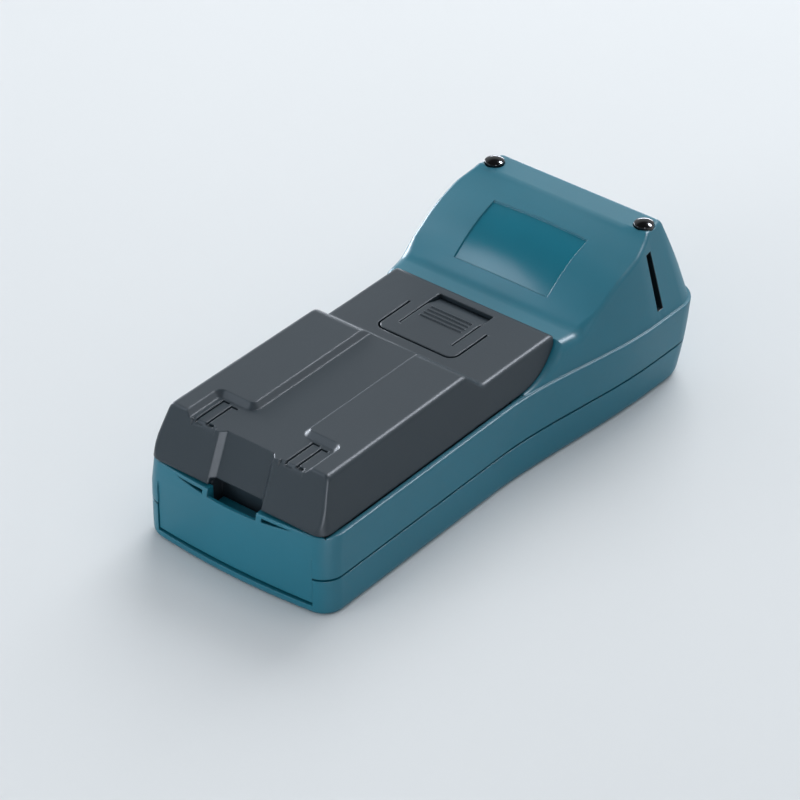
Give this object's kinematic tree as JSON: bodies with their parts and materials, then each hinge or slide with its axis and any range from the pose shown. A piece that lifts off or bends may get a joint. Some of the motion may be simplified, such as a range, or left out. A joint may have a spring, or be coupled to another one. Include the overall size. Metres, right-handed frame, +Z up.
{
  "type": "handheld enclosure",
  "caption": "Handheld terminal case lying face down: two-part moulded shell with a raised head, a clip-in battery pack with a press latch, strap slots and rubber feet.",
  "frame": {"origin": "middle of the front face that the case lies on, at the centre of its box", "axes": "+Z up through the back, +Y along the length towards the head, +X to the right of the middle plane"},
  "size_m": [0.0954, 0.2, 0.0632],
  "materials": {
    "teal_abs": "fine moulded texture",
    "charcoal_abs": "fine moulded texture",
    "black_rubber": "glossy",
    "lens": "polished",
    "display": "satin",
    "silicone": "matte",
    "key_plastic": "satin",
    "board": "satin",
    "contact_metal": "plated",
    "screw_steel": "plated",
    "cell_wrap": "shrink film"
  },
  "bodies": {
    "case": {"front_shell": "teal_abs", "display_lens": "lens", "display_module": "display", "keypad_mat": "silicone", "main_board": "board", "board_screws": "screw_steel", "rear_shell": "teal_abs", "tray_contacts": "contact_metal", "case_screws": "screw_steel", "foot_left": "black_rubber", "foot_right": "black_rubber"},
    "battery": {"battery_base": "charcoal_abs", "pack_contacts": "contact_metal", "cell_left": "cell_wrap", "cell_middle": "cell_wrap", "cell_right": "cell_wrap", "battery_cover": "charcoal_abs"},
    "latch": {"latch_tongue": "charcoal_abs"},
    "key_1_1": {"key_1_1": "key_plastic"},
    "key_1_2": {"key_1_2": "key_plastic"},
    "key_1_3": {"key_1_3": "key_plastic"},
    "key_2_1": {"key_2_1": "key_plastic"},
    "key_2_2": {"key_2_2": "key_plastic"},
    "key_2_3": {"key_2_3": "key_plastic"},
    "key_3_1": {"key_3_1": "key_plastic"},
    "key_3_2": {"key_3_2": "key_plastic"},
    "key_3_3": {"key_3_3": "key_plastic"},
    "key_4_1": {"key_4_1": "key_plastic"},
    "key_4_2": {"key_4_2": "key_plastic"},
    "key_4_3": {"key_4_3": "key_plastic"}
  },
  "joints": [
    {"name": "battery_swing", "type": "hinge", "parent": "case", "child": "battery", "pos_m": [0, -0.0969, 0.0318], "axis": [1, 0, 0], "range_deg": [0, 40]},
    {"name": "latch_press", "type": "hinge", "parent": "battery", "child": "latch", "pos_m": [0, 0.003, 0.0439], "axis": [-1, 0, 0], "range_deg": [0, 5], "stiffness_Nm_per_rad": 0.3},
    {"name": "key_1_1_press", "type": "slide", "parent": "case", "child": "key_1_1", "axis": [0, 0, 1], "range_m": [0, 0.0007], "stiffness_N_per_m": 300},
    {"name": "key_1_2_press", "type": "slide", "parent": "case", "child": "key_1_2", "axis": [0, 0, 1], "range_m": [0, 0.0007], "stiffness_N_per_m": 300},
    {"name": "key_1_3_press", "type": "slide", "parent": "case", "child": "key_1_3", "axis": [0, 0, 1], "range_m": [0, 0.0007], "stiffness_N_per_m": 300},
    {"name": "key_2_1_press", "type": "slide", "parent": "case", "child": "key_2_1", "axis": [0, 0, 1], "range_m": [0, 0.0007], "stiffness_N_per_m": 300},
    {"name": "key_2_2_press", "type": "slide", "parent": "case", "child": "key_2_2", "axis": [0, 0, 1], "range_m": [0, 0.0007], "stiffness_N_per_m": 300},
    {"name": "key_2_3_press", "type": "slide", "parent": "case", "child": "key_2_3", "axis": [0, 0, 1], "range_m": [0, 0.0007], "stiffness_N_per_m": 300},
    {"name": "key_3_1_press", "type": "slide", "parent": "case", "child": "key_3_1", "axis": [0, 0, 1], "range_m": [0, 0.0007], "stiffness_N_per_m": 300},
    {"name": "key_3_2_press", "type": "slide", "parent": "case", "child": "key_3_2", "axis": [0, 0, 1], "range_m": [0, 0.0007], "stiffness_N_per_m": 300},
    {"name": "key_3_3_press", "type": "slide", "parent": "case", "child": "key_3_3", "axis": [0, 0, 1], "range_m": [0, 0.0007], "stiffness_N_per_m": 300},
    {"name": "key_4_1_press", "type": "slide", "parent": "case", "child": "key_4_1", "axis": [0, 0, 1], "range_m": [0, 0.0007], "stiffness_N_per_m": 300},
    {"name": "key_4_2_press", "type": "slide", "parent": "case", "child": "key_4_2", "axis": [0, 0, 1], "range_m": [0, 0.0007], "stiffness_N_per_m": 300},
    {"name": "key_4_3_press", "type": "slide", "parent": "case", "child": "key_4_3", "axis": [0, 0, 1], "range_m": [0, 0.0007], "stiffness_N_per_m": 300}
  ]
}
